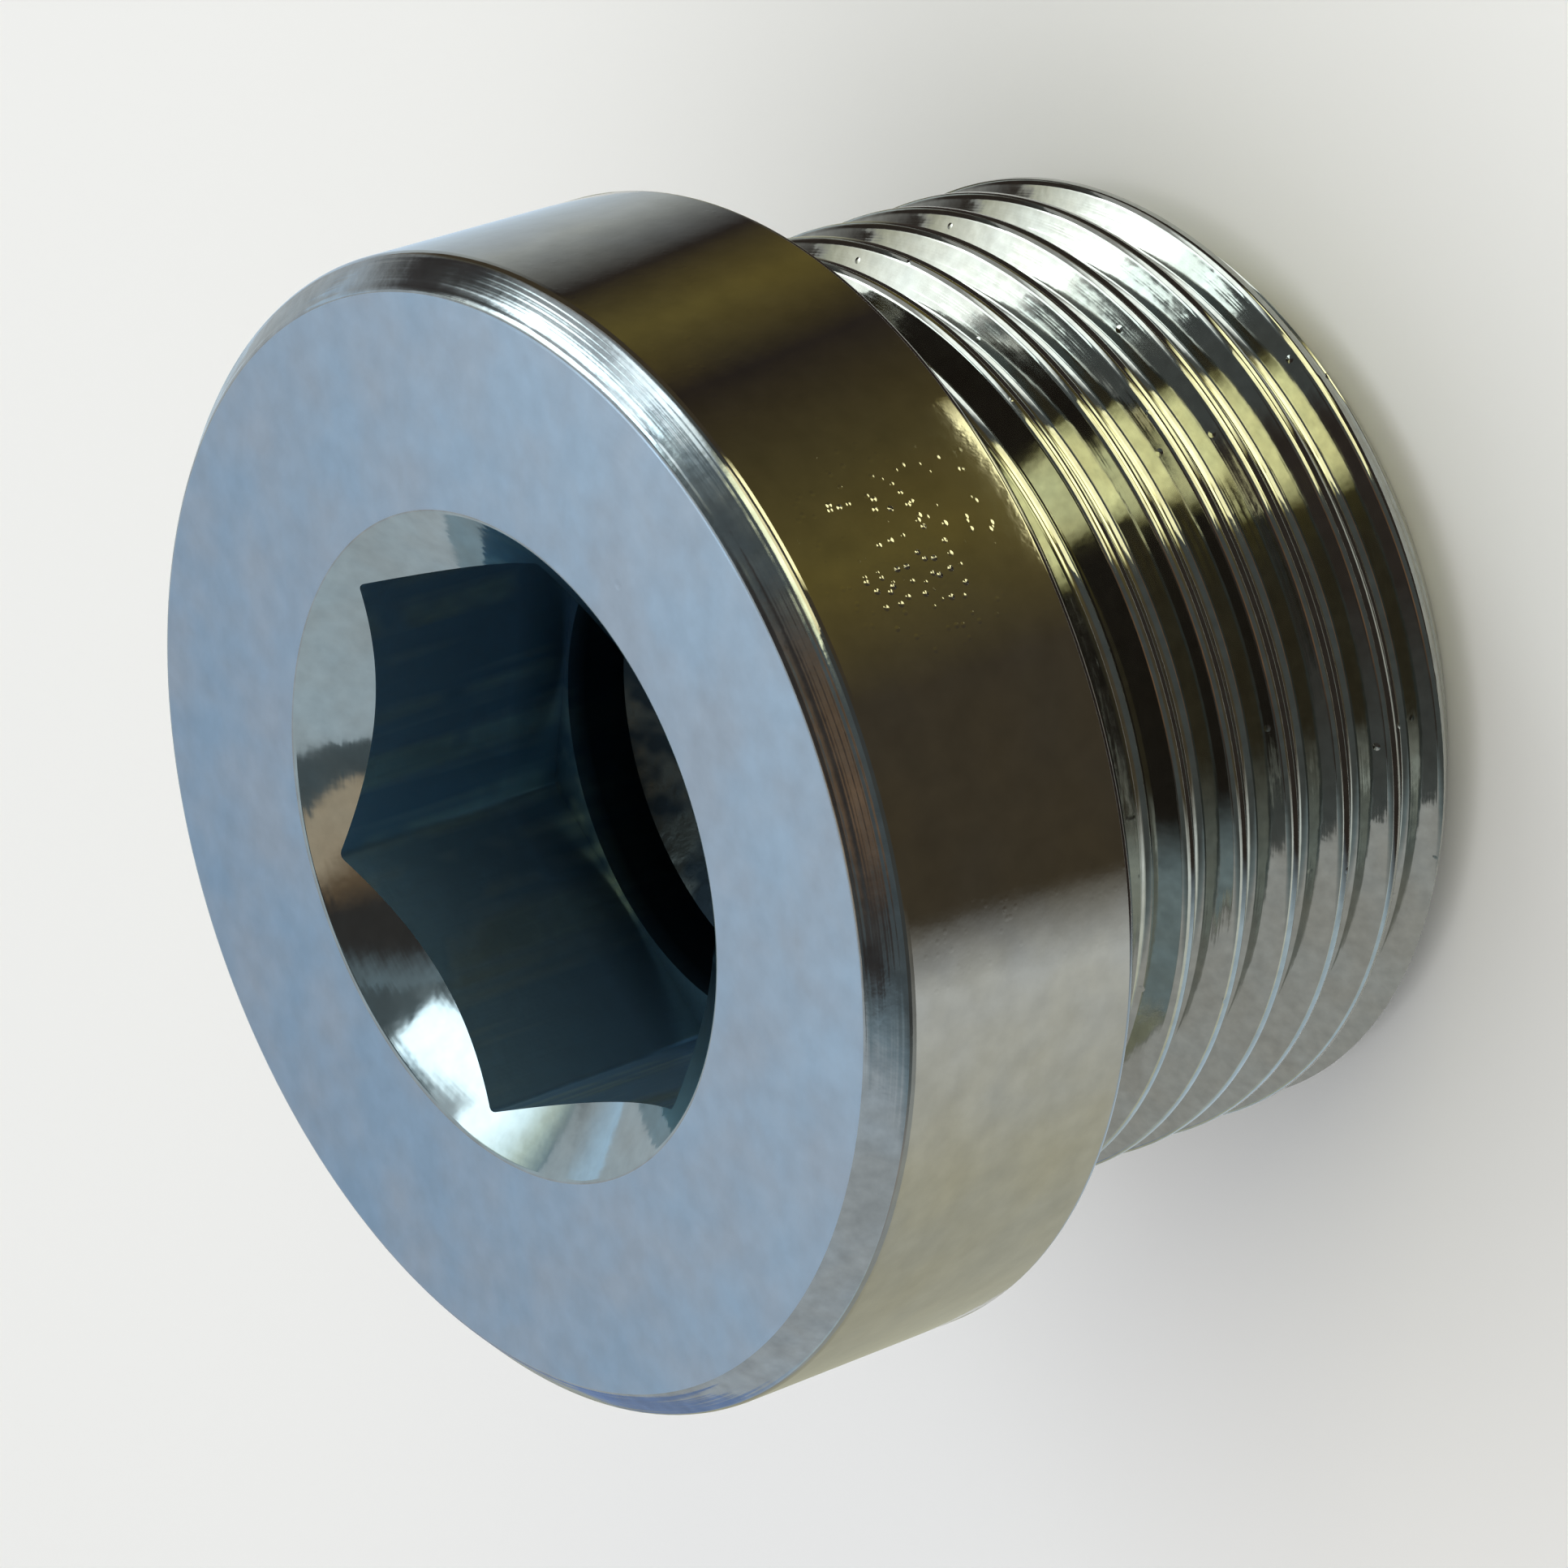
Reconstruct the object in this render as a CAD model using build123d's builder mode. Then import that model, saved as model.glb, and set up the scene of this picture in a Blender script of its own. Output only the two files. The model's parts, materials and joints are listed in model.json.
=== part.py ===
from build123d import *

# Hex socket screw plug: a round collar head over a fine-threaded shank, turned from one bar.
#
# The plug is one solid.  It stands on its thread end with the axis along +Z, the origin is the
# centre of that end, and two corners of the hex lie on the X axis.  Sizes are in millimetres.
# The thread's ridges are left off: the shank is a cylinder of the thread's outside diameter.

import os
from math import isclose, radians, sqrt, tan

# Shank, for a thread M22 x 1.5
thread_diameter = 22.0
shank_length = 12.0  # thread end to the seat under the head
lead_in = 1.4  # 45 degree chamfer on the thread end

# Relief turned between the thread and the seat, so that the seat meets a flat surface
relief_depth = 1.15  # below the thread's outside diameter
relief_width = 2.4  # seat to the thread's outside diameter
relief_ramp_angle = 45.0  # flank that runs the relief out to the thread
tool_nose_radius = 0.8

# Head
head_diameter = 26.0
head_height = 7.0
face_chamfer = 0.7
seat_chamfer = 0.3

# Hex socket, broached from the head's face
across_flats = 12.0
socket_depth = 6.5  # face to the hex's floor
countersink_margin = 0.57  # mouth of the countersink outside the hex's corners
countersink_angle = 105.0  # included

# Pilot hole that the broach follows
pilot_clearance = 0.1  # inside each flat
pilot_run_out = 1.6  # room for chips below the hex's floor
drill_point_angle = 118.0  # included

total_height = shank_length + head_height
head_radius = head_diameter / 2
thread_radius = thread_diameter / 2

relief_radius = thread_radius - relief_depth
relief_ramp = relief_depth / tan(radians(relief_ramp_angle))
relief_floor = relief_width - relief_ramp
corner_reach = 1 + tan(radians(relief_ramp_angle / 2))  # floor that both corners take, per unit of radius
relief_corner_radius = min(tool_nose_radius, 0.95 * relief_floor / corner_reach)

hex_floor = total_height - socket_depth
countersink_radius = across_flats / sqrt(3) + countersink_margin
pilot_radius = across_flats / 2 - pilot_clearance
pilot_shoulder = hex_floor - pilot_run_out
drill_point = pilot_radius / tan(radians(drill_point_angle / 2))
countersink_depth = (countersink_radius - pilot_radius) / tan(radians(countersink_angle / 2))

with BuildPart() as plug_body:
    # Turned blank: half section from the axis outwards, with the tool's nose left in the relief
    with BuildSketch(Plane.XZ) as blank_section:
        with BuildLine():
            Polyline(
                (0, 0),
                (thread_radius - lead_in, 0),
                (thread_radius, lead_in),
                (thread_radius, shank_length - relief_width),
                (relief_radius, shank_length - relief_floor),
                (relief_radius, shank_length),
                (head_radius, shank_length),
                (head_radius, total_height),
                (0, total_height),
                close=True,
            )
        make_face()
        relief_corners = blank_section.vertices().filter_by(lambda corner: isclose(corner.X, relief_radius))
        fillet(relief_corners, relief_corner_radius)
    revolve(axis=Axis.Z)

    # Broken edges of the head: wide at the face, narrow at the seat
    head_rims = plug_body.edges().filter_by(GeomType.CIRCLE).group_by(SortBy.RADIUS)[-1]
    chamfer(head_rims.sort_by(Axis.Z)[-1], face_chamfer)
    chamfer(head_rims.sort_by(Axis.Z)[0], seat_chamfer)

    # Pilot hole with its drill point, opened at the face by the countersink
    with BuildSketch(Plane.XZ):
        with BuildLine():
            Polyline(
                (0, pilot_shoulder - drill_point),
                (pilot_radius, pilot_shoulder),
                (pilot_radius, total_height - countersink_depth),
                (countersink_radius, total_height),
                (0, total_height),
                close=True,
            )
        make_face()
    revolve(axis=Axis.Z, mode=Mode.SUBTRACT)

    # Broached hex: its flats cut the countersink in six scallops
    with BuildSketch(Plane.XY.offset(hex_floor)):
        RegularPolygon(across_flats / 2, 6, major_radius=False)
    extrude(amount=socket_depth, mode=Mode.SUBTRACT)

plug_body.part.label = "plug_body"
os.makedirs("parts", exist_ok=True)
export_step(plug_body.part, "parts/plug_body.step")
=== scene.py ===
import json
from math import ceil, cos, pi, radians, sin, sqrt, tan

import bmesh
import bpy
from bpy.props import FloatProperty, FloatVectorProperty, IntProperty, PointerProperty
from mathutils import Matrix, Quaternion, Vector


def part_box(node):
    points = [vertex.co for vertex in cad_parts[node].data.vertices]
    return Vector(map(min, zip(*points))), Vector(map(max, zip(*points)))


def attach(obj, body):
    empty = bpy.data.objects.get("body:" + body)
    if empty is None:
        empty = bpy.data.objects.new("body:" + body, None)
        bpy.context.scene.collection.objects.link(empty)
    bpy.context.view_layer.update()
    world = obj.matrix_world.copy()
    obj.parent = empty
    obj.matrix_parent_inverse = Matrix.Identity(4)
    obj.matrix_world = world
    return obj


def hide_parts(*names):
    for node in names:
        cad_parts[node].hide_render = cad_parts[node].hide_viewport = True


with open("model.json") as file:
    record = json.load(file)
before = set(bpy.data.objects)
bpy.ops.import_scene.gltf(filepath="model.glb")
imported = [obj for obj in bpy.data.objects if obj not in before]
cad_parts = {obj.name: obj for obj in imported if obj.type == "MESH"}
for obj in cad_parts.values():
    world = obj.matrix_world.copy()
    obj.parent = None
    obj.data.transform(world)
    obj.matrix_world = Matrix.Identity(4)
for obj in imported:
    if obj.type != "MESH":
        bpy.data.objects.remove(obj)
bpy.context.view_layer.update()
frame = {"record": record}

bl_info = {
    "name": "Hex Socket Plug",
    "version": (1, 0, 0),
    "blender": (4, 5, 0),
    "location": "3D View > Sidebar > Plug",
    "description": "Zinc plated screw plug with a hex socket, and the studio it is shown in",
    "category": "Object",
}

MM = 0.001
MICRON = 0.001 * MM
MERGE = 1 * MICRON             # points nearer than this are one point
ROUND_SEGMENTS = 5             # in each rounded edge of a turned section

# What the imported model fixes: the outside box and the mounts
NODE = "plug_body"
BODY = "root"
MOUNTS = {mount["name"]: mount for mount in frame["record"]["mounts"]}
TOTAL_HEIGHT = MOUNTS["hex_socket"]["pos_m"][2]
SEAT_HEIGHT = MOUNTS["seat_face"]["pos_m"][2]
HEAD_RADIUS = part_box(NODE)[1][0]
THREAD_RADIUS = MOUNTS["thread"]["dims"]["r_mm"] * MM


class PlugSizes(bpy.types.PropertyGroup):
    """Sizes of the plug that its outside box doesn't give."""

    thread_pitch: FloatProperty(
        name="Thread Pitch", description="Height of one turn of the thread",
        default=1.5 * MM, min=0.2 * MM, unit="LENGTH", precision=5)
    crest_clearance: FloatProperty(
        name="Crest Clearance", description="How far the plated crests lie inside the thread's full radius",
        default=0.06 * MM, min=0.0, unit="LENGTH", precision=5)
    thread_start: FloatProperty(
        name="Thread Start", description="Turn of the thread about its axis",
        default=radians(-31), unit="ROTATION")
    thread_stop: FloatProperty(
        name="Thread Stop", description="Gap between the end of the groove and the seat",
        default=0.25 * MM, min=0.0, unit="LENGTH", precision=5)
    lead_in: FloatProperty(
        name="Lead In", description="45 degree chamfer on the thread end",
        default=1.4 * MM, min=0.0, unit="LENGTH", precision=5)
    relief_depth: FloatProperty(
        name="Relief Depth", description="Depth of the relief below the thread's full radius",
        default=1.15 * MM, min=0.0, unit="LENGTH", precision=5)
    relief_width: FloatProperty(
        name="Relief Width", description="Seat to the thread's full radius",
        default=2.4 * MM, min=0.0, unit="LENGTH", precision=5)
    nose_radius: FloatProperty(
        name="Nose Radius", description="Corner radius that the turning tool leaves in the relief",
        default=0.8 * MM, min=0.0, unit="LENGTH", precision=5)
    face_chamfer: FloatProperty(
        name="Face Chamfer", description="45 degree chamfer at the head's face",
        default=0.7 * MM, min=0.0, unit="LENGTH", precision=5)
    seat_chamfer: FloatProperty(
        name="Seat Chamfer", description="45 degree chamfer at the seat under the head",
        default=0.3 * MM, min=0.0, unit="LENGTH", precision=5)
    broken_edge: FloatProperty(
        name="Broken Edge", description="Rounding of the turned edges under the plating",
        default=0.09 * MM, min=0.0, unit="LENGTH", precision=5)
    across_flats: FloatProperty(
        name="Across Flats", description="Width of the hex socket",
        default=12 * MM, min=1 * MM, unit="LENGTH", precision=5)
    socket_depth: FloatProperty(
        name="Socket Depth", description="Face to the floor of the hex",
        default=6.5 * MM, min=0.5 * MM, unit="LENGTH", precision=5)
    countersink_margin: FloatProperty(
        name="Countersink Margin", description="Mouth of the countersink outside the hex's corners",
        default=0.57 * MM, min=0.0, unit="LENGTH", precision=5)
    countersink_angle: FloatProperty(
        name="Countersink Angle", description="Included angle of the countersink",
        default=radians(105), unit="ROTATION")
    pilot_clearance: FloatProperty(
        name="Pilot Clearance", description="Gap between the pilot hole and each flat",
        default=0.1 * MM, min=0.0, unit="LENGTH", precision=5)
    pilot_run_out: FloatProperty(
        name="Pilot Run Out", description="Depth of the pilot hole below the hex's floor",
        default=1.6 * MM, min=0.0, unit="LENGTH", precision=5)
    drill_point_angle: FloatProperty(
        name="Drill Point Angle", description="Included angle of the pilot hole's end",
        default=radians(118), unit="ROTATION")
    steps: IntProperty(
        name="Steps", description="Segments in one full turn", default=192, min=24, max=256)


class PlugFinish(bpy.types.PropertyGroup):
    """Colours of the zinc plating and its thin passivation film, with painted light and shade across the
    face.
    """

    # painted light: the face's colour on the side that is painted lighter
    face_painted_lit_colour: FloatVectorProperty(
        name="Face Colour", description="Satin front face where its film is thinnest",
        subtype="COLOR", default=(0.54, 0.73, 0.93))
    # painted shade: the face's colour on the side that is painted darker
    face_painted_shade_colour: FloatVectorProperty(
        name="Face Shade", description="Satin front face where its film is thickest",
        subtype="COLOR", default=(0.33, 0.50, 0.70))
    face_tint: FloatVectorProperty(
        name="Face Tint", description="Warmer patches of the film on the front face",
        subtype="COLOR", default=(0.52, 0.58, 0.66))
    chamfer_colour: FloatVectorProperty(
        name="Chamfer Colour", description="Turned chamfer round the face",
        subtype="COLOR", default=(0.45, 0.53, 0.58))
    rim_colour: FloatVectorProperty(
        name="Rim Colour", description="Bright outside of the head",
        subtype="COLOR", default=(0.32, 0.32, 0.31))
    rim_tint: FloatVectorProperty(
        name="Rim Tint", description="Yellower patches on the outside of the head",
        subtype="COLOR", default=(0.35, 0.33, 0.27))
    thread_colour: FloatVectorProperty(
        name="Thread Colour", description="Thread, relief and seat",
        subtype="COLOR", default=(0.40, 0.42, 0.39))
    countersink_colour: FloatVectorProperty(
        name="Countersink Colour", description="Polished cone at the mouth of the socket",
        subtype="COLOR", default=(0.45, 0.58, 0.64))
    socket_colour: FloatVectorProperty(
        name="Socket Colour", description="Broached walls of the hex",
        subtype="COLOR", default=(0.32, 0.52, 0.70))
    socket_tint: FloatVectorProperty(
        name="Socket Tint", description="Paler streaks that the broach leaves",
        subtype="COLOR", default=(0.8, 1.0, 1.0))


class StudioSettings(bpy.types.PropertyGroup):
    """Camera, lamps and floor."""

    lens: FloatProperty(
        name="Lens", description="Focal length in millimetres on a 36 mm sensor", default=179.6)
    aim: FloatVectorProperty(
        name="Aim", description="Point that the camera looks at",
        default=(-1.02 * MM, 0.27 * MM, 10.7 * MM), unit="LENGTH", precision=5)
    distance: FloatProperty(
        name="Distance", description="Camera to its aim", default=173.7 * MM, unit="LENGTH")
    azimuth: FloatProperty(
        name="Azimuth", description="Camera's turn round the plug, 0 looks along +Y",
        default=radians(38.4), unit="ROTATION")
    elevation: FloatProperty(
        name="Elevation", description="Camera's angle above the floor",
        default=radians(35.25), unit="ROTATION")
    roll: FloatProperty(
        name="Roll", description="Camera's turn about its own axis",
        default=radians(-108.6), unit="ROTATION")


# ---------------------------------------------------------------- plug body

# shape of the thread's groove, in shares of its pitch
GROOVE_DEPTH = 0.5
GROOVE_HALF_ROOT = 0.115
CREST_SHOULDER = 0.09
ROOT_CORNER = 0.1
GROOVE_ANGLE = radians(60)
HEX_CORNER = 0.12 * MM         # rounding that a broach leaves in the hex's corners
HEX_SEGMENTS = 3

ZONES = ("face", "chamfer", "rim", "thread", "countersink", "socket")


def corner_rounding(bm, vertex, offset, segments):
    """Rounds one corner of an open wire, starting the arc at offset from it."""
    bmesh.ops.bevel(
        bm, geom=[vertex], offset=offset, offset_type="OFFSET", segments=segments,
        profile=0.5, affect="VERTICES", material=-1)


def section_wire(bm, corners):
    """Draws a chain of (radius, height, arc offset) corners in the XZ plane and rounds them."""
    vertices = [bm.verts.new((radius, 0, height)) for radius, height, _ in corners]
    for pair in zip(vertices, vertices[1:]):
        bm.edges.new(pair)
    for vertex, (_, _, offset) in zip(vertices, corners):
        if offset:
            corner_rounding(bm, vertex, offset, ROUND_SEGMENTS)
    return vertices


def revolved(bm, steps):
    """Turns the wire in bm a full turn about Z and closes it."""
    bmesh.ops.spin(
        bm, geom=bm.verts[:] + bm.edges[:], cent=(0, 0, 0), axis=(0, 0, 1),
        angle=2 * pi, steps=steps, use_merge=True)
    bmesh.ops.remove_doubles(bm, verts=bm.verts, dist=MERGE)
    bmesh.ops.recalc_face_normals(bm, faces=bm.faces)


def blank_corners(sizes):
    """Half section of the turned blank, from the thread end outwards and down into the pilot hole."""
    edge = sizes.broken_edge
    crest = THREAD_RADIUS - sizes.crest_clearance
    lead_in = sizes.lead_in - sizes.crest_clearance
    relief = THREAD_RADIUS - sizes.relief_depth
    ramp_top = SEAT_HEIGHT - sizes.relief_width + sizes.relief_depth
    ramp_start = ramp_top - (crest - relief)
    nose = sizes.nose_radius
    pilot = sizes.across_flats / 2 - sizes.pilot_clearance
    mouth = sizes.across_flats / sqrt(3) + sizes.countersink_margin
    countersink_depth = (mouth - pilot) / tan(sizes.countersink_angle / 2)
    pilot_floor = TOTAL_HEIGHT - sizes.socket_depth - sizes.pilot_run_out
    drill_point = pilot_floor - pilot / tan(sizes.drill_point_angle / 2)
    return (
        (0, 0, 0),
        (crest - lead_in, 0, edge),
        (crest, lead_in, edge),
        (crest, ramp_start, edge),
        (relief, ramp_top, nose * tan(radians(22.5))),
        (relief, SEAT_HEIGHT, nose),
        (HEAD_RADIUS - sizes.seat_chamfer, SEAT_HEIGHT, edge),
        (HEAD_RADIUS, SEAT_HEIGHT + sizes.seat_chamfer, edge),
        (HEAD_RADIUS, TOTAL_HEIGHT - sizes.face_chamfer, 2 * edge),
        (HEAD_RADIUS - sizes.face_chamfer, TOTAL_HEIGHT, edge),
        (mouth, TOTAL_HEIGHT, edge),
        (pilot, TOTAL_HEIGHT - countersink_depth, 0),
        (pilot, pilot_floor, 0),
        (0, drill_point, 0),
    )


def make_blank(sizes):
    """Turned blank with its pilot hole and countersink, before the thread and the hex are cut."""
    bm = bmesh.new()
    section_wire(bm, blank_corners(sizes))
    revolved(bm, sizes.steps)
    return bm


def make_thread_groove(sizes):
    """Solid that the threading tool sweeps: the groove's section on a helix."""
    pitch = sizes.thread_pitch
    crest = THREAD_RADIUS - sizes.crest_clearance
    depth = GROOVE_DEPTH * pitch
    root = crest - depth
    half_root = GROOVE_HALF_ROOT * pitch
    half_crest = half_root + depth * tan(GROOVE_ANGLE / 2)
    shoulder = CREST_SHOULDER * pitch
    crest_corner = 0.9 * shoulder
    root_corner = ROOT_CORNER * pitch
    lift = 0.2 * shoulder        # the section's ends stand this far outside the crests
    # section in the XZ plane, crest side outwards, with rounded crest edges and root corners
    corners = (
        (crest + lift, -half_crest - shoulder, 0),
        (crest, -half_crest, crest_corner),
        (root, -half_root, root_corner),
        (root, half_root, root_corner),
        (crest, half_crest, crest_corner),
        (crest + lift, half_crest + shoulder, 0),
    )
    bm = bmesh.new()
    section_wire(bm, corners)
    bm.edges.new([vertex for vertex in bm.verts if len(vertex.link_edges) == 1])
    start = SEAT_HEIGHT + pitch / 2
    bmesh.ops.translate(bm, verts=bm.verts, vec=(0, 0, start))
    bmesh.ops.spin(
        bm, geom=bm.verts[:] + bm.edges[:], cent=(0, 0, 0), axis=(0, 0, 1), angle=-2 * pi,
        dvec=(0, 0, -pitch / sizes.steps), steps=sizes.steps, use_merge=False)
    one_turn = bm.verts[:] + bm.edges[:] + bm.faces[:]
    for turn in range(1, ceil(start / pitch) + 1):
        copy = bmesh.ops.duplicate(bm, geom=one_turn)["geom"]
        moved = [item for item in copy if isinstance(item, bmesh.types.BMVert)]
        bmesh.ops.translate(bm, verts=moved, vec=(0, 0, -turn * pitch))
    bmesh.ops.remove_doubles(bm, verts=bm.verts, dist=MERGE / 2)
    # the groove runs out in the relief and never reaches the seat
    bmesh.ops.bisect_plane(
        bm, geom=bm.verts[:] + bm.edges[:] + bm.faces[:], dist=MERGE / 10,
        plane_co=(0, 0, SEAT_HEIGHT - sizes.thread_stop), plane_no=(0, 0, 1), clear_outer=True)
    bmesh.ops.holes_fill(bm, edges=[edge for edge in bm.edges if edge.is_boundary], sides=0)
    bmesh.ops.rotate(bm, verts=bm.verts, cent=(0, 0, 0),
                     matrix=Matrix.Rotation(sizes.thread_start, 3, "Z"))
    bmesh.ops.recalc_face_normals(bm, faces=bm.faces)
    return bm


def make_hex(sizes):
    """Prism that the broach sweeps, which starts a little above the face."""
    above_face = 1 * MM
    floor = TOTAL_HEIGHT - sizes.socket_depth
    bm = bmesh.new()
    bmesh.ops.create_circle(bm, segments=6, radius=sizes.across_flats / sqrt(3), cap_ends=True)
    bmesh.ops.bevel(bm, geom=bm.verts[:], offset=HEX_CORNER, offset_type="OFFSET", segments=HEX_SEGMENTS,
                    profile=0.5, affect="VERTICES", material=-1)
    bmesh.ops.rotate(bm, verts=bm.verts, cent=(0, 0, 0), matrix=Matrix.Rotation(radians(90), 3, "Z"))
    bmesh.ops.translate(bm, verts=bm.verts, vec=(0, 0, floor))
    rim = bmesh.ops.extrude_face_region(bm, geom=bm.faces[:])["geom"]
    moved = [item for item in rim if isinstance(item, bmesh.types.BMVert)]
    bmesh.ops.translate(bm, verts=moved, vec=(0, 0, sizes.socket_depth + above_face))
    bmesh.ops.recalc_face_normals(bm, faces=bm.faces)
    return bm


def zone_of(centre, sizes):
    """Index of the finish that a face of the blank gets, from the place of its centre."""
    radius = Vector((centre.x, centre.y)).length
    slack = 0.01 * MM
    mouth = sizes.across_flats / sqrt(3) + sizes.countersink_margin
    pilot = sizes.across_flats / 2 - sizes.pilot_clearance
    if centre.z > TOTAL_HEIGHT - slack or centre.z < slack:
        zone = "face"
    elif radius < pilot + slack:
        zone = "socket"
    elif radius < mouth and centre.z > SEAT_HEIGHT:
        zone = "countersink"
    elif centre.z > TOTAL_HEIGHT - sizes.face_chamfer:
        zone = "chamfer"
    elif centre.z > SEAT_HEIGHT + slack and radius > HEAD_RADIUS - sizes.seat_chamfer:
        zone = "rim"
    else:
        zone = "thread"
    return ZONES.index(zone)


def to_object(bm, name, materials):
    """Puts a bmesh in a new object with the plug's finishes."""
    mesh = bpy.data.meshes.new(name)
    for material in materials:
        mesh.materials.append(material)
    bm.to_mesh(mesh)
    bm.free()
    thing = bpy.data.objects.new(name, mesh)
    bpy.context.scene.collection.objects.link(thing)
    return thing


def cut(target, tool):
    """Takes the tool's volume out of the target and removes the tool."""
    boolean = target.modifiers.new("cut", "BOOLEAN")
    boolean.operation = "DIFFERENCE"
    boolean.solver = "EXACT"
    boolean.material_mode = "INDEX"
    boolean.object = tool
    depsgraph = bpy.context.evaluated_depsgraph_get()
    result = bpy.data.meshes.new_from_object(target.evaluated_get(depsgraph))
    target.modifiers.remove(boolean)
    old = target.data
    target.data = result
    result.name = target.name
    bpy.data.meshes.remove(old)
    shape = tool.data
    bpy.data.objects.remove(tool)
    bpy.data.meshes.remove(shape)


def clean(mesh):
    """Merges the crumbs that cutting leaves, and makes sure that the shape is closed."""
    bm = bmesh.new()
    bm.from_mesh(mesh)
    bmesh.ops.remove_doubles(bm, verts=bm.verts, dist=3 * MERGE)
    bmesh.ops.dissolve_degenerate(bm, edges=bm.edges, dist=MERGE)
    bmesh.ops.recalc_face_normals(bm, faces=bm.faces)
    if not all(edge.is_manifold for edge in bm.edges):
        raise RuntimeError("the plug's surface isn't closed")
    bm.to_mesh(mesh)
    bm.free()


# ---------------------------------------------------------------- finishes


def feed(tree, value, socket):
    """Links an output to a socket, or sets a plain value on it."""
    if isinstance(value, bpy.types.NodeSocket):
        tree.links.new(value, socket)
    elif hasattr(value, "__len__") and len(value) == 3 and len(socket.default_value) == 4:
        socket.default_value = (*value, 1)
    else:
        socket.default_value = value


def calculate(tree, operation, *values):
    """Output of a Math node on the given values."""
    node = tree.nodes.new("ShaderNodeMath")
    node.operation = operation
    for value, socket in zip(values, node.inputs):
        feed(tree, value, socket)
    return node.outputs["Value"]


def mapped(tree, value, low, high, to_low=0.0, to_high=1.0):
    """Value moved from low..high to another range, and held inside it."""
    node = tree.nodes.new("ShaderNodeMapRange")
    for socket, given in zip(("Value", "From Min", "From Max", "To Min", "To Max"),
                             (value, low, high, to_low, to_high)):
        feed(tree, given, node.inputs[socket])
    return node.outputs["Result"]


def between(tree, factor, first, second):
    """Colour that is factor of the way from first to second."""
    node = tree.nodes.new("ShaderNodeMix")
    node.data_type = "RGBA"
    for socket, given in ((0, factor), (6, first), (7, second)):
        feed(tree, given, node.inputs[socket])
    return node.outputs[2]


def vector_math(tree, operation, output, first, second=None, scale=None):
    """Output of a Vector Math node."""
    node = tree.nodes.new("ShaderNodeVectorMath")
    node.operation = operation
    feed(tree, first, node.inputs[0])
    if second is not None:
        feed(tree, second, node.inputs[1])
    if scale is not None:
        feed(tree, scale, node.inputs["Scale"])
    return node.outputs[output]


def noise(tree, vector, scale, detail=2.0):
    """Soft noise between 0 and 1."""
    node = tree.nodes.new("ShaderNodeTexNoise")
    feed(tree, vector, node.inputs["Vector"])
    feed(tree, scale, node.inputs["Scale"])
    feed(tree, detail, node.inputs["Detail"])
    return node.outputs["Fac"]


def place(tree):
    """Object coordinates of the point being shaded."""
    return tree.nodes.new("ShaderNodeTexCoord").outputs["Object"]


def new_group(name, inputs, outputs):
    """Node group with named sockets; gives the tree, the values that come in and the sockets that go out."""
    tree = bpy.data.node_groups.new(name, "ShaderNodeTree")
    for label, kind, default in inputs:
        socket = tree.interface.new_socket(label, in_out="INPUT", socket_type="NodeSocket" + kind)
        socket.default_value = default
    for label, kind in outputs:
        tree.interface.new_socket(label, in_out="OUTPUT", socket_type="NodeSocket" + kind)
    return tree, tree.nodes.new("NodeGroupInput").outputs, tree.nodes.new("NodeGroupOutput").inputs


def use(tree, group, values):
    """Outputs of a node group that is placed in tree with its own values."""
    node = tree.nodes.new("ShaderNodeGroup")
    node.node_tree = group
    for label, value in values.items():
        feed(tree, value, node.inputs[label])
    return node.outputs


def film_group():
    """Colour of the plating, which the passivation film tints in soft patches."""
    tree, given, out = new_group(
        "passivation_film",
        (("Colour", "Color", (0.5, 0.5, 0.5, 1)), ("Tint", "Color", (0.5, 0.5, 0.5, 1)),
         ("Patch Size", "Float", 1 * MM), ("Amount", "Float", 0.5), ("Shade", "Float", 0.1)),
        (("Colour", "Color"), ("Patches", "Float")))
    scale = calculate(tree, "DIVIDE", 1.0, given["Patch Size"])
    patches = mapped(tree, noise(tree, place(tree), scale, 3.0), 0.35, 0.65)
    tinted = calculate(tree, "MULTIPLY", patches, given["Amount"])
    colour = between(tree, tinted, given["Colour"], given["Tint"])
    fine = noise(tree, place(tree), calculate(tree, "MULTIPLY", scale, 3.7), 3.0)
    strength = calculate(tree, "MULTIPLY", given["Shade"], 4.0)
    swing = calculate(tree, "MULTIPLY", calculate(tree, "SUBTRACT", fine, 0.5), strength)
    shade = calculate(tree, "ADD", swing, 1.0)
    feed(tree, vector_math(tree, "SCALE", "Vector", colour, scale=shade), out["Colour"])
    feed(tree, patches, out["Patches"])
    return tree


def lathe_group():
    """Height of the rings that a turning tool leaves, which fade and break here and there."""
    tree, given, out = new_group(
        "turning_marks",
        (("Across Face", "Float", 1.0), ("Spacing", "Float", 0.1 * MM), ("Fade Size", "Float", 4 * MM)),
        (("Height", "Float"),))
    flat = vector_math(tree, "MULTIPLY", "Vector", place(tree), (1, 1, 0))
    radius = vector_math(tree, "LENGTH", "Value", flat)
    rise = tree.nodes.new("ShaderNodeSeparateXYZ")
    feed(tree, place(tree), rise.inputs[0])
    across = mapped(tree, given["Across Face"], 0.0, 1.0, rise.outputs["Z"], radius)
    rings = tree.nodes.new("ShaderNodeTexNoise")
    rings.noise_dimensions = "1D"
    rings.inputs["Scale"].default_value = 1.0
    rings.inputs["Detail"].default_value = 2.0
    feed(tree, calculate(tree, "DIVIDE", across, given["Spacing"]), rings.inputs["W"])
    fade_scale = calculate(tree, "DIVIDE", 1.0, given["Fade Size"])
    fade = mapped(tree, noise(tree, place(tree), fade_scale, 2.0), 0.35, 0.6, 0.25, 1.0)
    height = calculate(tree, "MULTIPLY", calculate(tree, "SUBTRACT", rings.outputs["Fac"], 0.5), fade)
    feed(tree, height, out["Height"])
    return tree


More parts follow.
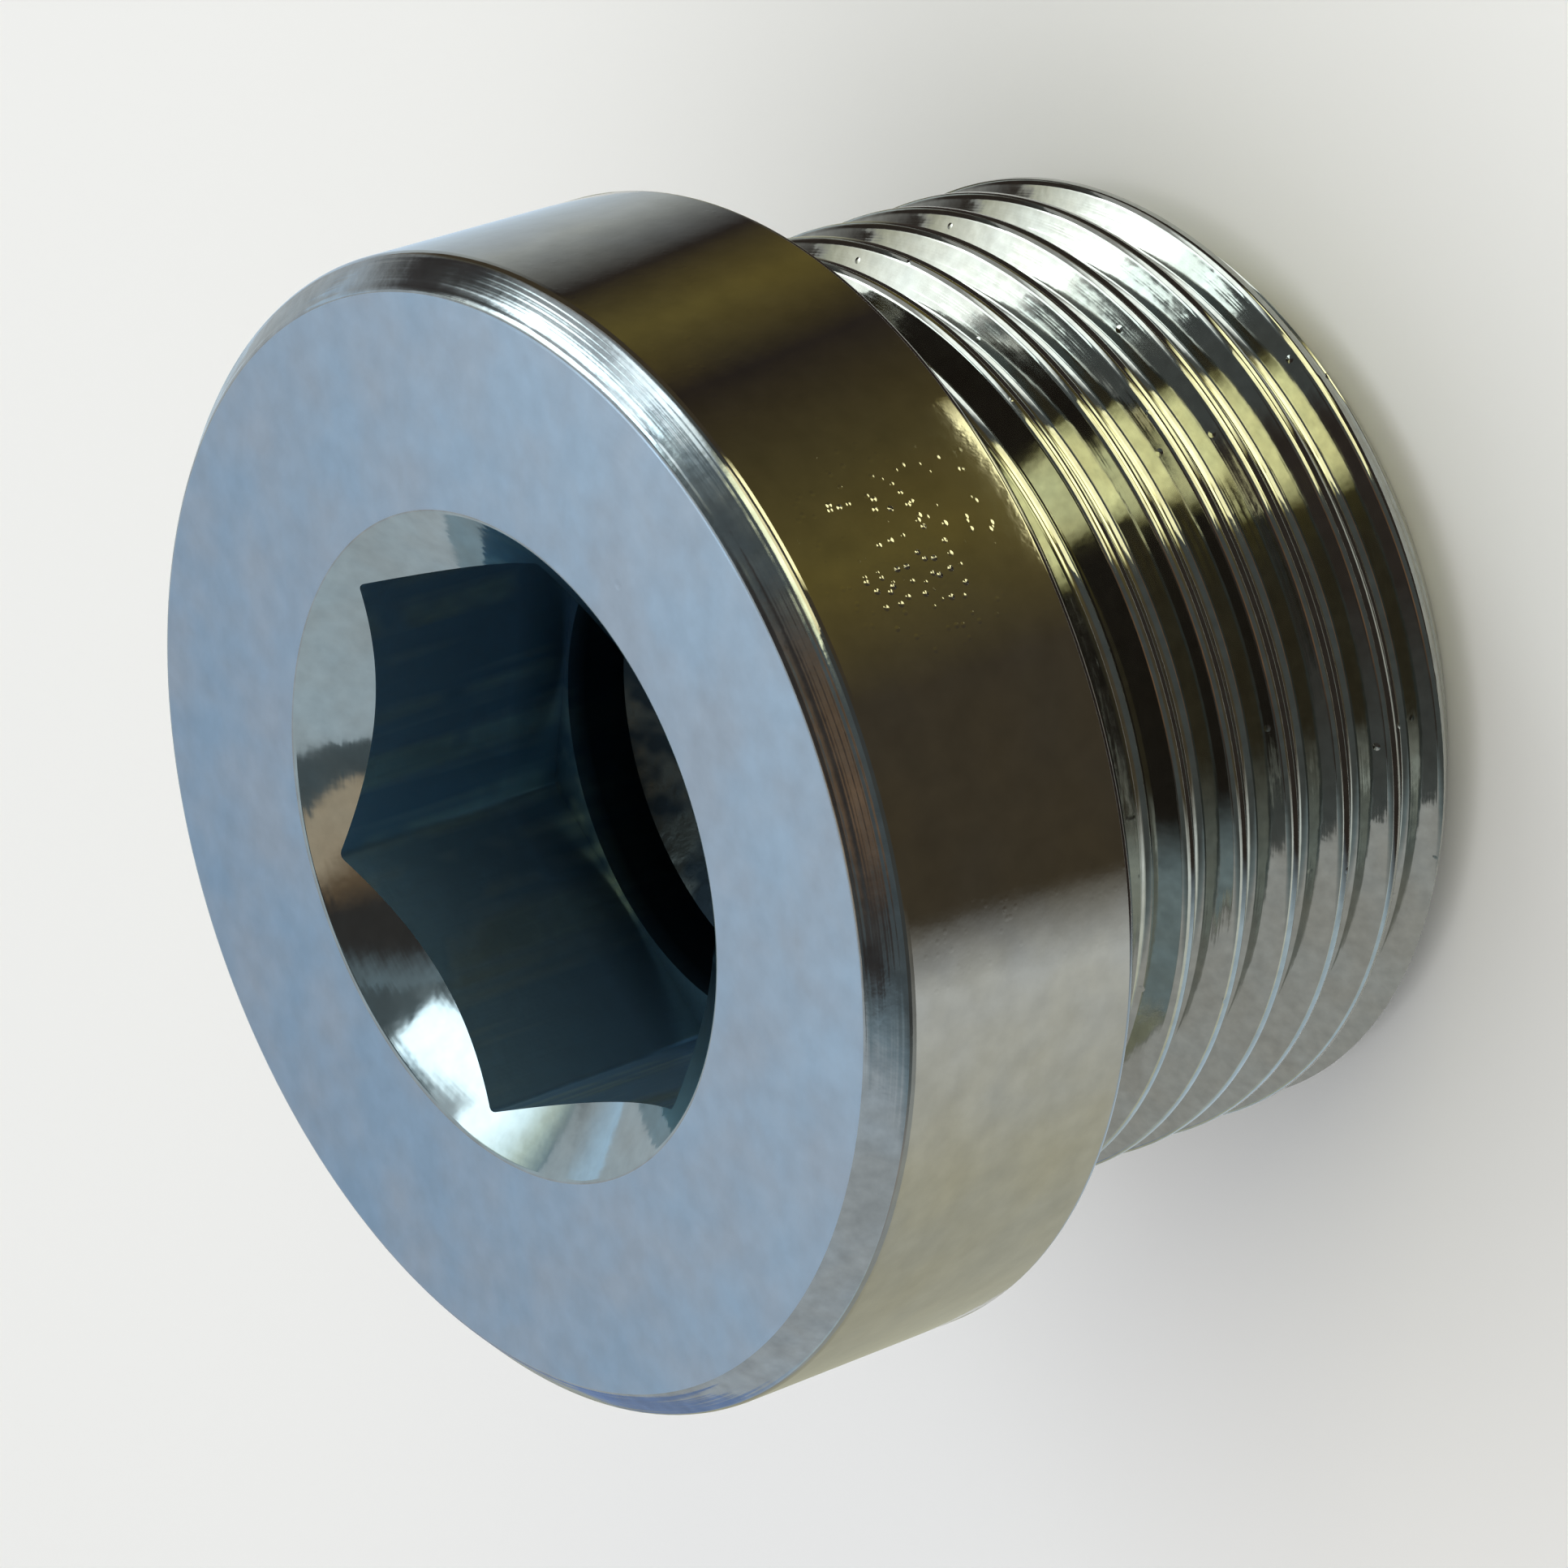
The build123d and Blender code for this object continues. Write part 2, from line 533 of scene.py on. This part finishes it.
def broach_group():
    """Streaks that the broach leaves along the walls of the hex."""
    tree, given, out = new_group(
        "broach_marks", (("Spacing", "Float", 0.2 * MM),), (("Height", "Float"), ("Streaks", "Float")))
    stretched = vector_math(tree, "MULTIPLY", "Vector", place(tree), (1, 1, 0.05))
    scale = calculate(tree, "DIVIDE", 1.0, given["Spacing"])
    fine = noise(tree, stretched, scale, 3.0)
    broad = noise(tree, stretched, calculate(tree, "MULTIPLY", scale, 0.3), 2.0)
    cloudy = noise(tree, place(tree), calculate(tree, "MULTIPLY", scale, 0.12), 2.0)
    feed(tree, calculate(tree, "ADD", fine, broad), out["Height"])
    streaks = calculate(tree, "MULTIPLY", mapped(tree, broad, 0.45, 0.6), mapped(tree, cloudy, 0.4, 0.55))
    feed(tree, streaks, out["Streaks"])
    return tree


def dots_group():
    """Small separate dots: pits where they are sunk, crystals of zinc where they stand up."""
    tree, given, out = new_group(
        "dots", (("Spacing", "Float", 0.5 * MM), ("Size", "Float", 0.2), ("Share", "Float", 0.3)),
        (("Mask", "Float"),))
    cells = tree.nodes.new("ShaderNodeTexVoronoi")
    feed(tree, place(tree), cells.inputs["Vector"])
    feed(tree, calculate(tree, "DIVIDE", 1.0, given["Spacing"]), cells.inputs["Scale"])
    picked = tree.nodes.new("ShaderNodeSeparateColor")
    feed(tree, cells.outputs["Color"], picked.inputs[0])
    round_dot = mapped(tree, cells.outputs["Distance"], given["Size"], 0.0)
    chosen = calculate(tree, "LESS_THAN", picked.outputs["Red"], given["Share"])
    feed(tree, calculate(tree, "MULTIPLY", round_dot, chosen), out["Mask"])
    return tree


def make_groups():
    """The node groups that the finishes share, by name."""
    return {"film": film_group(), "lathe": lathe_group(), "broach": broach_group(), "dots": dots_group()}


def zinc(name):
    """New metal material; gives it with its tree and its shader."""
    material = bpy.data.materials.new(name)
    material.use_nodes = True
    shader = material.node_tree.nodes["Principled BSDF"]
    shader.inputs["Metallic"].default_value = 1
    return material, material.node_tree, shader


def film(tree, groups, shader, colour, tint, patch_size, amount, shade):
    """Tints the shader's colour in patches and gives the patches."""
    made = use(tree, groups["film"], {
        "Colour": colour, "Tint": tint, "Patch Size": patch_size, "Amount": amount, "Shade": shade})
    feed(tree, made["Colour"], shader.inputs["Base Color"])
    return made["Patches"]


def roughen(tree, shader, amount, low, high):
    """Roughness that moves between low and high with amount."""
    feed(tree, mapped(tree, amount, 0.0, 1.0, low, high), shader.inputs["Roughness"])


def bump(tree, shader, heights):
    """Lays one bump on another; each is a height and the size of its unit in metres."""
    normal = None
    for height, distance in heights:
        node = tree.nodes.new("ShaderNodeBump")
        node.inputs["Distance"].default_value = distance
        feed(tree, height, node.inputs["Height"])
        if normal is not None:
            feed(tree, normal, node.inputs["Normal"])
        normal = node.outputs["Normal"]
    feed(tree, normal, shader.inputs["Normal"])


PAINTED_LIGHT_TURN = radians(-42)       # side of the face that is painted lighter; the far side gets painted shade


def face_finish(groups, finish):
    """Satin front face: blue grey film in soft patches, painted lighter on one side and darker on the other,
    faint rings, a few pits.
    """
    material, tree, shader = zinc("zinc_face")
    # painted light and shade: the face's colour is painted lighter on one side and darker on the other
    towards = vector_math(tree, "DOT_PRODUCT", "Value", place(tree), (cos(PAINTED_LIGHT_TURN), sin(PAINTED_LIGHT_TURN), 0))
    painted_lit_side = mapped(tree, towards, -HEAD_RADIUS, HEAD_RADIUS)
    colour = between(tree, painted_lit_side, finish.face_painted_shade_colour, finish.face_painted_lit_colour)
    patches = film(tree, groups, shader, colour, finish.face_tint, 2.4 * MM, 0.5, 0.07)
    roughen(tree, shader, patches, 0.28, 0.36)
    rings = use(tree, groups["lathe"], {"Across Face": 1.0, "Spacing": 0.16 * MM, "Fade Size": 3 * MM})
    pits = use(tree, groups["dots"], {"Spacing": 1.6 * MM, "Size": 0.08, "Share": 0.25})
    grain = noise(tree, place(tree), 1 / (0.3 * MM), 3.0)
    sunk = calculate(tree, "SUBTRACT", 1.0, pits["Mask"])
    bump(tree, shader, ((rings["Height"], 2.5 * MICRON), (grain, 3 * MICRON), (sunk, 15 * MICRON)))
    return material


def chamfer_finish(groups, finish):
    """Turned chamfer: strong rings that pull the light into streaks."""
    material, tree, shader = zinc("zinc_chamfer")
    patches = film(tree, groups, shader, finish.chamfer_colour, finish.rim_tint, 1.5 * MM, 0.3, 0.15)
    roughen(tree, shader, patches, 0.1, 0.2)
    rings = use(tree, groups["lathe"], {"Across Face": 1.0, "Spacing": 0.17 * MM, "Fade Size": 1.5 * MM})
    grain = noise(tree, place(tree), 1 / (0.25 * MM), 2.0)
    bump(tree, shader, ((rings["Height"], 20 * MICRON), (grain, 3 * MICRON)))
    return material


def rim_finish(groups, finish):
    """Bright outside of the head: mirror like, with a rough patch of crystals that sparkle."""
    material, tree, shader = zinc("zinc_rim")
    film(tree, groups, shader, finish.rim_colour, finish.rim_tint, 2.5 * MM, 0.5, 0.1)
    peel = noise(tree, place(tree), 1 / (0.5 * MM), 3.0)
    rough = rough_patch(tree)
    crystals = use(tree, groups["dots"], {"Spacing": 0.2 * MM, "Size": 0.36, "Share": 0.4})
    tall = calculate(tree, "MULTIPLY", crystals["Mask"], rough)
    roughen(tree, shader, tall, 0.06, 0.25)
    fine = calculate(tree, "MULTIPLY", noise(tree, place(tree), 1 / (0.12 * MM), 1.0), rough)
    bump(tree, shader, ((peel, 2.5 * MICRON), (fine, 3 * MICRON), (tall, 29 * MICRON)))
    return material


def rough_patch(tree):
    """How rough the outside of the head is: most round one place, and a little elsewhere."""
    angle = radians(-37)
    centre = (HEAD_RADIUS * cos(angle), HEAD_RADIUS * sin(angle), TOTAL_HEIGHT - 3.6 * MM)
    away = vector_math(tree, "DISTANCE", "Value", place(tree), centre)
    clouds = mapped(tree, noise(tree, place(tree), 1 / (1.2 * MM), 2.0), 0.4, 0.6, 0.3, 1.0)
    return calculate(tree, "MULTIPLY", mapped(tree, away, 0.8 * MM, 2.6 * MM, 1.0, 0.03), clouds)


def thread_finish(groups, finish):
    """Thread, relief and seat: bright, with marks that follow the tool round."""
    material, tree, shader = zinc("zinc_thread")
    patches = film(tree, groups, shader, finish.thread_colour, finish.rim_tint, 1.2 * MM, 0.35, 0.12)
    roughen(tree, shader, patches, 0.05, 0.09)
    rings = use(tree, groups["lathe"], {"Across Face": 1.0, "Spacing": 0.15 * MM, "Fade Size": 2 * MM})
    grain = noise(tree, place(tree), 1 / (0.5 * MM), 2.0)
    crystals = use(tree, groups["dots"], {"Spacing": 0.6 * MM, "Size": 0.15, "Share": 0.12})
    bump(tree, shader, ((rings["Height"], 2 * MICRON), (grain, 3 * MICRON), (crystals["Mask"], 12 * MICRON)))
    return material


def countersink_finish(groups, finish):
    """Polished cone at the mouth of the socket."""
    material, tree, shader = zinc("zinc_countersink")
    patches = film(tree, groups, shader, finish.countersink_colour, finish.rim_tint, 1.5 * MM, 0.25, 0.08)
    roughen(tree, shader, patches, 0.05, 0.1)
    rings = use(tree, groups["lathe"], {"Across Face": 1.0, "Spacing": 0.2 * MM, "Fade Size": 2 * MM})
    grain = noise(tree, place(tree), 1 / (0.6 * MM), 2.0)
    bump(tree, shader, ((rings["Height"], 1 * MICRON), (grain, 3 * MICRON)))
    return material


def socket_finish(groups, finish):
    """Broached walls with pale streaks along the hole, with painted shade that darkens them towards the
    floor of the socket.
    """
    material, tree, shader = zinc("zinc_socket")
    broach = use(tree, groups["broach"], {"Spacing": 0.3 * MM})
    tinted = between(tree, broach["Streaks"], finish.socket_colour, finish.socket_tint)
    rise = tree.nodes.new("ShaderNodeSeparateXYZ")
    feed(tree, place(tree), rise.inputs[0])
    # painted shade: the colour grows darker deeper in the socket
    painted_depth_shade = mapped(tree, rise.outputs["Z"], TOTAL_HEIGHT - 7 * MM, TOTAL_HEIGHT - 5 * MM, 0.1, 1.0)
    feed(tree, vector_math(tree, "SCALE", "Vector", tinted, scale=painted_depth_shade), shader.inputs["Base Color"])
    roughen(tree, shader, broach["Streaks"], 0.4, 0.3)
    grain = noise(tree, place(tree), 1 / (0.4 * MM), 3.0)
    bump(tree, shader, ((broach["Height"], 20 * MICRON), (grain, 10 * MICRON)))
    return material


# one for each of ZONES, in the same order
FINISHES = (face_finish, chamfer_finish, rim_finish, thread_finish, countersink_finish, socket_finish)
SMOOTH_ANGLE = radians(32)     # edges sharper than this stay sharp


class PLUG_OT_make_body(bpy.types.Operator):
    """Turn, thread and broach the plug, and give it its zinc finishes"""

    bl_idname = "plug.make_body"
    bl_label = "Make Plug Body"

    def execute(self, context):
        sizes = context.scene.plug_sizes
        finish = context.scene.plug_finish
        groups = make_groups()
        materials = [maker(groups, finish) for maker in FINISHES]
        bm = make_blank(sizes)
        for face in bm.faces:
            face.material_index = zone_of(face.calc_center_median(), sizes)
        plug = to_object(bm, "plug", materials)
        groove = make_thread_groove(sizes)
        for face in groove.faces:
            face.material_index = ZONES.index("thread")
        cut(plug, to_object(groove, "groove_tool", materials))
        broach = make_hex(sizes)
        for face in broach.faces:
            face.material_index = ZONES.index("socket")
        cut(plug, to_object(broach, "broach_tool", materials))
        clean(plug.data)
        plug.data.shade_smooth()
        plug.data.set_sharp_from_angle(angle=SMOOTH_ANGLE)
        weighted = plug.modifiers.new("weighted_normals", "WEIGHTED_NORMAL")
        weighted.keep_sharp = True
        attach(plug, BODY)
        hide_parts(NODE)
        return {"FINISHED"}


# ---------------------------------------------------------------- studio


FLOOR_RADIUS = 1.5
LAMP_DISTANCE = 0.4
BENCH_HEIGHT = 0.4 * MM        # cards that stand for the bench lie just above the floor
WARM_HEIGHT = 0.7 * MM         # and the warm ones above those
FAR, MIDDLE, NEAR = 0.8, 0.75, 0.7   # radii of the cards that stand round the studio
CARD_STEPS = 48
ARC_STEPS = 12

# light that the world and the cards give off
ROOM_GREY = (0.55, 0.55, 0.55)
BLACK = (0.05, 0.04, 0.035)
SLATE = (0.1, 0.11, 0.11)
STEEL = (0.25, 0.3, 0.32)
GREY = (0.5, 0.5, 0.5)
DAYLIGHT = (0.6, 0.65, 0.65)
SKY = (0.65, 0.8, 0.95)
DUSK = (0.22, 0.3, 0.5)
BRIGHT = (1.05, 1.1, 1.1)
WHITE = (2.2, 2.3, 2.3)
UMBER = (0.11, 0.09, 0.06)
BROWN = (0.19, 0.11, 0.06)
RUST = (0.28, 0.16, 0.09)
TAN = (0.55, 0.38, 0.25)
OLIVE = (0.25, 0.2, 0.06)
SAGE = (0.4, 0.4, 0.3)
PALE = (0.85, 0.85, 0.7)
CREAM = (3.6, 3.4, 1.9)
SOFT_CREAM = (2.6, 2.5, 1.5)


def direction(azimuth, elevation):
    """Unit vector towards a place round the plug; azimuth 0 is on the -Y side."""
    return Vector((sin(azimuth) * cos(elevation), -cos(azimuth) * cos(elevation), sin(elevation)))


def link(thing):
    """Puts an object in the scene."""
    bpy.context.scene.collection.objects.link(thing)
    return thing


def softbox(name, azimuth, elevation, spread, radiance, colour, lean=0.0, glossy=True):
    """Soft lamp that fills spread (wide, high) degrees as seen from the plug, at a given brightness."""
    width, height = (2 * LAMP_DISTANCE * tan(radians(angle / 2)) for angle in spread)
    lamp = bpy.data.lights.new(name, "AREA")
    lamp.shape = "RECTANGLE"
    lamp.size, lamp.size_y = width, height
    lamp.energy = radiance * pi * width * height
    lamp.color = colour
    box = link(bpy.data.objects.new(name, lamp))
    back = direction(azimuth, elevation)
    box.location = back * LAMP_DISTANCE
    box.rotation_mode = "QUATERNION"
    box.rotation_quaternion = (-back).to_track_quat("-Z", "Y") @ Quaternion((0, 0, 1), lean)
    box.visible_camera = False
    box.visible_glossy = glossy
    return box


def arc(radius, low, high):
    """Upright quarter arc between two elevations in degrees, as (radius, height) points."""
    angles = [radians(low + (high - low) * step / ARC_STEPS) for step in range(ARC_STEPS + 1)]
    return [(radius * cos(angle), radius * sin(angle)) for angle in angles]


def level(height, inner, outer):
    """Section of a level card between two radii."""
    return ((inner, height), (outer, height))


def card(name, here, section, stops):
    """Card swept round the plug, seen only in its reflections; stops are (degrees from here, colour)."""
    start = here + radians(stops[0][0])
    stop = here + radians(stops[-1][0])
    bm = bmesh.new()
    vertices = [
        bm.verts.new((sin(start) * radius, -cos(start) * radius, height)) for radius, height in section]
    for pair in zip(vertices, vertices[1:]):
        bm.edges.new(pair)
    bmesh.ops.spin(bm, geom=bm.verts[:] + bm.edges[:], cent=(0, 0, 0), axis=(0, 0, 1),
                   angle=stop - start, steps=CARD_STEPS, use_merge=False)
    mesh = bpy.data.meshes.new(name)
    bm.to_mesh(mesh)
    bm.free()
    mesh.materials.append(card_material(name, start, stop, stops))
    thing = link(bpy.data.objects.new(name, mesh))
    thing.visible_camera = False
    thing.visible_diffuse = False
    thing.visible_shadow = False
    return thing


def card_material(name, start, stop, stops):
    """Plain light of a card, which changes from stop to stop round the plug."""
    material = bpy.data.materials.new(name)
    material.use_nodes = True
    tree = material.node_tree
    tree.nodes.clear()
    emission = tree.nodes.new("ShaderNodeEmission")
    out = tree.nodes.new("ShaderNodeOutputMaterial")
    tree.links.new(emission.outputs["Emission"], out.inputs["Surface"])
    turn = tree.nodes.new("ShaderNodeVectorRotate")
    turn.rotation_type = "Z_AXIS"
    turn.inputs["Angle"].default_value = radians(90) - (start + stop) / 2
    feed(tree, place(tree), turn.inputs["Vector"])
    gradient = tree.nodes.new("ShaderNodeTexGradient")
    gradient.gradient_type = "RADIAL"
    feed(tree, turn.outputs["Vector"], gradient.inputs["Vector"])
    share = (stop - start) / (4 * pi)
    ramp = tree.nodes.new("ShaderNodeValToRGB")
    feed(tree, mapped(tree, gradient.outputs["Fac"], 0.5 - share, 0.5 + share), ramp.inputs["Fac"])
    feed(tree, ramp.outputs["Color"], emission.inputs["Color"])
    elements = ramp.color_ramp.elements
    while len(elements) < len(stops):
        elements.new(1.0)
    first, last = stops[0][0], stops[-1][0]
    for element, (degree, colour) in zip(elements, stops):
        element.position = (degree - first) / (last - first)
        element.color = (*colour, 1)
    return material


def make_camera(studio):
    """Camera that looks at the studio's aim."""
    back = direction(studio.azimuth, studio.elevation)
    camera_data = bpy.data.cameras.new("camera")
    camera_data.lens = studio.lens
    camera_data.clip_start, camera_data.clip_end = 0.01, 20
    camera = link(bpy.data.objects.new("camera", camera_data))
    camera.rotation_mode = "QUATERNION"
    camera.location = Vector(studio.aim) + back * studio.distance
    camera.rotation_quaternion = (-back).to_track_quat("-Z", "Y") @ Quaternion((0, 0, 1), studio.roll)
    return camera


def make_floor():
    """Plain pale floor."""
    bm = bmesh.new()
    bmesh.ops.create_circle(bm, cap_ends=True, segments=64, radius=FLOOR_RADIUS)
    mesh = bpy.data.meshes.new("floor")
    bm.to_mesh(mesh)
    bm.free()
    floor = link(bpy.data.objects.new("floor", mesh))
    material = bpy.data.materials.new("floor")
    material.use_nodes = True
    shader = material.node_tree.nodes["Principled BSDF"]
    shader.inputs["Base Color"].default_value = (0.9, 0.9, 0.9, 1)
    shader.inputs["Roughness"].default_value = 0.9
    shader.inputs["Specular IOR Level"].default_value = 0.0
    mesh.materials.append(material)


def make_lamps(here):
    """Light from above for the floor, and two soft lamps that the metal shows."""
    softbox("fill_lamp", here, radians(88), (60, 60), 1.0, (1, 1, 1), glossy=False)
    softbox("cool_softbox", here + radians(97), radians(40), (33, 13.5), 2.6, (0.88, 1.0, 1.0),
            lean=radians(-42))
    softbox("warm_lamp", here + radians(34), radians(21), (32, 30), 2.2, (1.0, 0.93, 0.55))


def make_bench_cards(here):
    """What the metal shows of the bench round the plug, near the floor."""
    card("bench_card", here, level(BENCH_HEIGHT, 23 * MM, 60 * MM), (
        (-180, DAYLIGHT), (-150, SAGE), (-80, PALE), (-45, BRIGHT), (-32, UMBER), (3, UMBER), (24, OLIVE),
        (62, BLACK), (78, OLIVE), (93, BLACK), (113, DAYLIGHT), (140, SKY), (180, DAYLIGHT)))
    card("near_bench_card", here, level(BENCH_HEIGHT, 12.5 * MM, 22.5 * MM), (
        (-180, DAYLIGHT), (-135, SAGE), (-90, SKY), (-56, SKY), (-42, BLACK), (100, BLACK), (112, SAGE),
        (180, DAYLIGHT)))
    card("far_bench_card", here, level(BENCH_HEIGHT, 60 * MM, FAR), (
        (-180, DAYLIGHT), (-165, DUSK), (-140, DUSK), (-122, DAYLIGHT), (-62, DAYLIGHT), (-30, UMBER),
        (120, UMBER), (136, GREY), (180, DAYLIGHT)))
    # warm light: a step with a low wall, a patch close to the thread, and a wall further away
    card("warm_card", here, (*level(WARM_HEIGHT, 21 * MM, 23.5 * MM), (23.5 * MM, 4.1 * MM)), (
        (12, OLIVE), (18, CREAM), (36, CREAM), (41, OLIVE)))
    card("warm_near_card", here, level(WARM_HEIGHT, 13 * MM, 16.5 * MM), (
        (20, OLIVE), (25, SOFT_CREAM), (38, SOFT_CREAM), (42, OLIVE)))
    card("warm_wall", here, ((50 * MM, WARM_HEIGHT), (50 * MM, 14 * MM)), (
        (22, OLIVE), (26, CREAM), (42, CREAM), (47, OLIVE)))


def make_upper_cards(here):
    """What the metal shows of the room above the bench."""
    card("low_camera_side_card", here, arc(FAR, 0, 47), (
        (-76, GREY), (-64, STEEL), (-52, SLATE), (55, SLATE), (72, STEEL), (88, GREY)))
    card("crest_card", here, arc(MIDDLE, 12, 38), ((57, SLATE), (64, WHITE), (80, WHITE), (88, GREY)))
    card("camera_side_card", here, arc(FAR, 47, 58), (
        (-76, GREY), (-66, STEEL), (-57, BLACK), (-42, BLACK), (-18, RUST), (9, BROWN), (38, SLATE),
        (100, SLATE)))
    card("overhead_card", here, arc(FAR, 56, 90), (
        (-86, SLATE), (-20, BLACK), (52, BLACK), (62, SLATE), (101, SLATE), (112, STEEL)))
    # low over the plug, where only the countersink sees them
    card("hood_card", here, level(80 * MM, 6 * MM, 28 * MM), (
        (-92, SLATE), (-83, SLATE), (-79, TAN), (-50, TAN), (-19, BROWN), (15, BLACK), (60, BLACK),
        (78, STEEL)))
    card("countersink_card", here, level(40 * MM, 8.5 * MM, 18 * MM), (
        (106, STEEL), (109, WHITE), (126, WHITE), (129, STEEL)))
    # beside the cool lamp: pale above, dark below
    card("pale_card", here, arc(NEAR, 26, 50), ((102, WHITE), (115, WHITE), (127, PALE), (133, STEEL)))
    card("low_dark_card", here, arc(NEAR, 0, 25), (
        (106, SLATE), (113, BLACK), (130, BLACK), (138, GREY), (147, SKY)))


def make_world():
    """Even grey light from all round."""
    world = bpy.data.worlds.new("studio")
    world.use_nodes = True
    background = world.node_tree.nodes["Background"]
    background.inputs["Color"].default_value = (*ROOM_GREY, 1)
    background.inputs["Strength"].default_value = 1.0
    return world


class PLUG_OT_make_studio(bpy.types.Operator):
    """Set up the floor, the lamps, the cards and the camera"""

    bl_idname = "plug.make_studio"
    bl_label = "Make Studio"

    def execute(self, context):
        scene = context.scene
        studio = scene.plug_studio
        scene.camera = make_camera(studio)
        make_floor()
        make_lamps(studio.azimuth)
        make_bench_cards(studio.azimuth)
        make_upper_cards(studio.azimuth)
        scene.world = make_world()
        scene.view_settings.view_transform = "Standard"
        return {"FINISHED"}


class PLUG_PT_panel(bpy.types.Panel):
    """Lists the sizes, the finish, the studio settings and what makes them"""

    bl_idname = "PLUG_PT_panel"
    bl_label = "Hex Socket Plug"
    bl_space_type = "VIEW_3D"
    bl_region_type = "UI"
    bl_category = "Plug"

    def draw(self, context):
        scene = context.scene
        for title, settings in (
                ("Sizes", scene.plug_sizes), ("Finish", scene.plug_finish), ("Studio", scene.plug_studio)):
            box = self.layout.box()
            box.label(text=title)
            for name in type(settings).__annotations__:
                box.prop(settings, name)
        for operator in (PLUG_OT_make_body, PLUG_OT_make_studio):
            self.layout.operator(operator.bl_idname)


CLASSES = (PlugSizes, PlugFinish, StudioSettings, PLUG_OT_make_body, PLUG_OT_make_studio, PLUG_PT_panel)


def register():
    for cls in CLASSES:
        bpy.utils.register_class(cls)
    bpy.types.Scene.plug_sizes = PointerProperty(type=PlugSizes)
    bpy.types.Scene.plug_finish = PointerProperty(type=PlugFinish)
    bpy.types.Scene.plug_studio = PointerProperty(type=StudioSettings)


def unregister():
    del bpy.types.Scene.plug_studio
    del bpy.types.Scene.plug_finish
    del bpy.types.Scene.plug_sizes
    for cls in reversed(CLASSES):
        bpy.utils.unregister_class(cls)


def main():
    register()
    bpy.ops.plug.make_body()
    bpy.ops.plug.make_studio()


if __name__ == "__main__":
    main()
